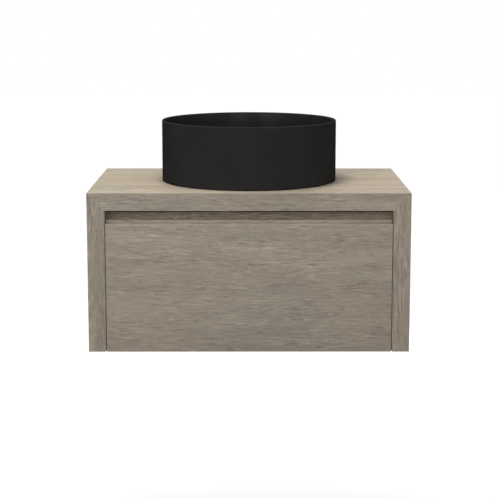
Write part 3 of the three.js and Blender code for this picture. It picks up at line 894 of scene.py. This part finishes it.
def flat_disc(radius, high):
    """A cam or a countersunk head that lies almost flush."""
    section = [(0, -1), (radius * 0.7, -1), (radius, -0.1), (radius, high, high * 0.6), (0, high)]
    return crossed_head(section, radius, high, 0.9)


def hexagon_head():
    """A hexagon head on its washer."""
    shank, washer, thick = 3, 8, 1.4
    corner, tall, sunk = 5.6, 4.2, 0.2
    section = [
        (0, -1.5),
        (shank, -1.5),
        (shank, 0),
        (washer, 0, 0.3),
        (washer, thick, 0.5),
        (0, thick),
    ]
    disc = turned(section, (0, 0, 0), facets=40)
    solid = bmesh.new()
    size = {"radius1": corner * MM, "radius2": corner * MM, "depth": tall * MM}
    bmesh.ops.create_cone(solid, cap_ends=True, segments=6, **size)
    middle = (thick - sunk + tall / 2) * MM
    bmesh.ops.translate(solid, vec=(0, 0, middle), verts=solid.verts)
    edges = list(solid.edges)
    bmesh.ops.bevel(solid, geom=edges, offset=0.4 * MM, segments=2, profile=0.5, affect="EDGES")
    return combined(mesh_of(disc, "washer"), [mesh_of(solid, "hexagon")], "UNION")


def fasteners(name, head, spots, facing, body):
    """Copies of one head, set on the given spots and facing one way, as one piece."""
    turn = Vector(facing).to_track_quat("Z", "Y").to_matrix().to_4x4()
    group = bmesh.new()
    for spot in spots:
        copy = head.copy()
        copy.transform(Matrix.Translation(spot) @ turn)
        group.from_mesh(copy)
        bpy.data.meshes.remove(copy)
    add_piece(name, mesh_of(group, name), "zinc_steel", body)


def build_fasteners():
    pan = pan_head(3.6, 2.4)
    small = flat_disc(3.4, 0.35)
    cam = flat_disc(7.5, 0.3)
    cabinet = BODY_OF["top_panel"]
    drawer = BODY_OF["drawer_front"]

    low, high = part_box("wall_rail")
    reach = (high.x - low.x) / 2
    face = high.y - 2 * MM
    row = low.z + 10.5 * MM
    spots = [(part * reach, face, row) for part in (-0.9, -0.45, 0, 0.45, 0.9)]
    fasteners("wall_rail_screws", hexagon_head(), spots, (0, -1, 0), cabinet)

    for side, sign in (("left", -1), ("right", 1)):
        low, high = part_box(f"hanger_{side}")
        middle = (low + high) / 2
        spots = [(middle.x, low.y, high.z - down * MM) for down in (33, 50)]
        fasteners(f"hanger_adjusters_{side}", pan, spots, (0, -1, 0), cabinet)
        inner = high.x if sign < 0 else low.x
        apart = 18 * MM
        spots = [(inner, middle.y + step, middle.z - apart) for step in (-apart, apart)]
        fasteners(f"hanger_fixings_{side}", small, spots, (-sign, 0, 0), cabinet)

        low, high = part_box(f"drawer_side_{side}")
        outer = low.x if sign < 0 else high.x
        rows = (low.z + 14 * MM, high.z - 22 * MM)
        columns = (low.y + 8 * MM, high.y - 8 * MM)
        spots = [(outer, y, z) for y in columns for z in rows]
        fasteners(f"drawer_side_screws_{side}", small, spots, (sign, 0, 0), drawer)

    low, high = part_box("drawer_subfront")
    rows = (low.z + 48 * MM, high.z - 26 * MM)
    spots = [(part * high.x, high.y, z) for part in (-0.82, 0.82) for z in rows]
    fasteners("front_fixing_screws", pan, spots, (0, 1, 0), drawer)

    inset = 34 * MM
    low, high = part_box("base_panel")
    rows = (low.y + 50 * MM, high.y - 50 * MM)
    spots = [(x, y, high.z) for x in (low.x + inset, high.x - inset) for y in rows]
    fasteners("base_cams", cam, spots, (0, 0, 1), cabinet)
    low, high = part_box("hanging_rail")
    spots = [(x, high.y, low.z + 26 * MM) for x in (low.x + inset, high.x - inset)]
    fasteners("hanging_rail_cams", cam, spots, (0, 1, 0), cabinet)
    low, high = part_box("finger_rail")
    spots = [(x, high.y, (low.z + high.z) / 2) for x in (low.x + inset, high.x - inset)]
    fasteners("finger_rail_cams", cam, spots, (0, 1, 0), cabinet)


# ---- Plain nodes ----


def dress_plain_nodes():
    """Every CAD node that still shows gets its slot's material."""
    for node, piece in NODES.items():
        if piece.hide_render:
            continue
        piece.data.materials.clear()
        piece.data.materials.append(MATERIALS[SLOT_OF[node]])


# ---- Stage, light and camera ----
HORIZON_BLEND = 0.02
SHADE_REACH = (0.9, 3.2)
FRONT_TARGET = (0, -0.4, -0.1)
WARM_WHITE = (1, 0.965, 0.82)


def seen_directly(tree):
    """1 for rays that show the surface itself or its mirror image, 0 for rays that light the object."""
    path = make_node(tree, "ShaderNodeLightPath").outputs
    factor = path["Is Camera Ray"]
    for other in ("Is Glossy Ray", "Is Transmission Ray"):
        links = {0: factor, 1: path[other]}
        factor = make_node(tree, "ShaderNodeMath", links=links, operation="MAXIMUM").outputs[0]
    return factor


def build_world(sky, ground):
    """White where it shows; it lights the object softly from above and a little from below."""
    world = bpy.data.worlds.new("studio")
    bpy.context.scene.world = world
    world.use_nodes = True
    tree = world.node_tree
    tree.nodes.clear()
    direction = make_node(tree, "ShaderNodeTexCoord").outputs["Generated"]
    height = make_node(tree, "ShaderNodeSeparateXYZ", links={"Vector": direction}).outputs["Z"]
    strength = map_range(tree, height, ground, sky, start=-HORIZON_BLEND, end=HORIZON_BLEND)
    lit = make_node(tree, "ShaderNodeBackground", {"Color": WHITE}, {"Strength": strength})
    shown = make_node(tree, "ShaderNodeBackground", {"Color": WHITE, "Strength": 1.0})
    surface = shader_mix(tree, seen_directly(tree), lit, shown)
    make_node(tree, "ShaderNodeOutputWorld", links={"Surface": surface})


def build_floor(height, size, shown, returned, lift):
    """A pale floor, lifted to white where it shows, that keeps shadows and returns little light.

    The lift is lower near the object, where the lamps already whiten the floor round its shadow.
    The floor is clear from underneath, so that the object's underside can be seen.
    """
    mesh = bpy.data.meshes.new("floor")
    half = size / 2
    corners = [(x * half, y * half, height) for x, y in ((-1, -1), (1, -1), (1, 1), (-1, 1))]
    mesh.from_pydata(corners, [], [(0, 1, 2, 3)])
    floor = bpy.data.objects.new("floor", mesh)
    bpy.context.scene.collection.objects.link(floor)
    material, tree, shader = new_material("floor", roughness=0.9, specular=0.0)
    seen = seen_directly(tree)
    colour = mix(tree, "MIX", seen, (*grey(returned), 1), (*grey(shown), 1))
    tree.links.new(colour, shader.inputs["Base Color"])
    away = make_node(tree, "ShaderNodeVectorMath", links={0: object_place(tree)}, operation="LENGTH")
    level = map_range(tree, away.outputs["Value"], *lift, *SHADE_REACH, interpolation_type="SMOOTHSTEP")
    glow = make_node(tree, "ShaderNodeMath", links={0: seen, 1: level}, operation="MULTIPLY")
    tree.links.new(glow.outputs[0], shader.inputs["Emission Strength"])
    shader.inputs["Emission Color"].default_value = WHITE
    underside = make_node(tree, "ShaderNodeNewGeometry").outputs["Backfacing"]
    clear = make_node(tree, "ShaderNodeBsdfTransparent")
    surface = shader_mix(tree, underside, shader, clear)
    tree.links.new(surface, tree.nodes["Material Output"].inputs["Surface"])
    mesh.materials.append(material)


def area_light(name, place, target, size, power, colour=(1, 1, 1)):
    """A rectangular softbox at a place, turned towards its target."""
    lamp = bpy.data.lights.new(name, "AREA")
    lamp.color = colour
    lamp.shape = "RECTANGLE"
    lamp.size, lamp.size_y = size
    lamp.energy = power
    holder = bpy.data.objects.new(name, lamp)
    holder.location = place
    aim = Vector(target) - Vector(place)
    holder.rotation_euler = aim.to_track_quat("-Z", "Y").to_euler()
    bpy.context.scene.collection.objects.link(holder)


def build_camera(lens, behind_front, above_top, tilt, shift):
    """A camera in the middle plane, in front of the casing, tilted down."""
    low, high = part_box("top_panel")
    data = bpy.data.cameras.new("camera")
    data.sensor_width = 36
    data.lens = lens
    data.shift_y = shift
    data.clip_end = 50
    camera = bpy.data.objects.new("camera", data)
    camera.location = (0, low.y - behind_front, high.z + above_top)
    camera.rotation_euler = Euler((math.radians(90 - tilt), 0, 0))
    bpy.context.scene.collection.objects.link(camera)
    bpy.context.scene.camera = camera


build_camera(lens=98.16, behind_front=2.8886, above_top=0.4144, tilt=8.409, shift=-0.1)
build_casing()
build_basin()
build_waste()
build_trap_nuts()
build_dip_tube()
build_bottle()
build_cup()
build_outlet()
build_drawer_box()
build_siphon_surround()
build_runners()
build_hanging()
build_fasteners()
dress_plain_nodes()
build_world(sky=0.44, ground=0.25)
build_floor(height=-0.85, size=30, shown=0.8, returned=0.28, lift=(0.48, 0.66))
area_light("softbox_left", (-1.30, -2.3, 1.05), FRONT_TARGET, size=(1.35, 2.2), power=16.3)
area_light("softbox_right", (0.54, -2.3, 1.05), FRONT_TARGET, size=(1.1, 2.2), power=9.8)
area_light(
    "softbox_above", (-0.19, -0.35, 2.0), (0, -0.25, 0), size=(0.8, 0.8), power=26, colour=WARM_WHITE
)
area_light("softbox_rear", (0.6, 2.0, -0.2), (0, 0, -0.1), size=(1.0, 0.7), power=10)

bpy.context.scene.view_settings.view_transform = "Standard"
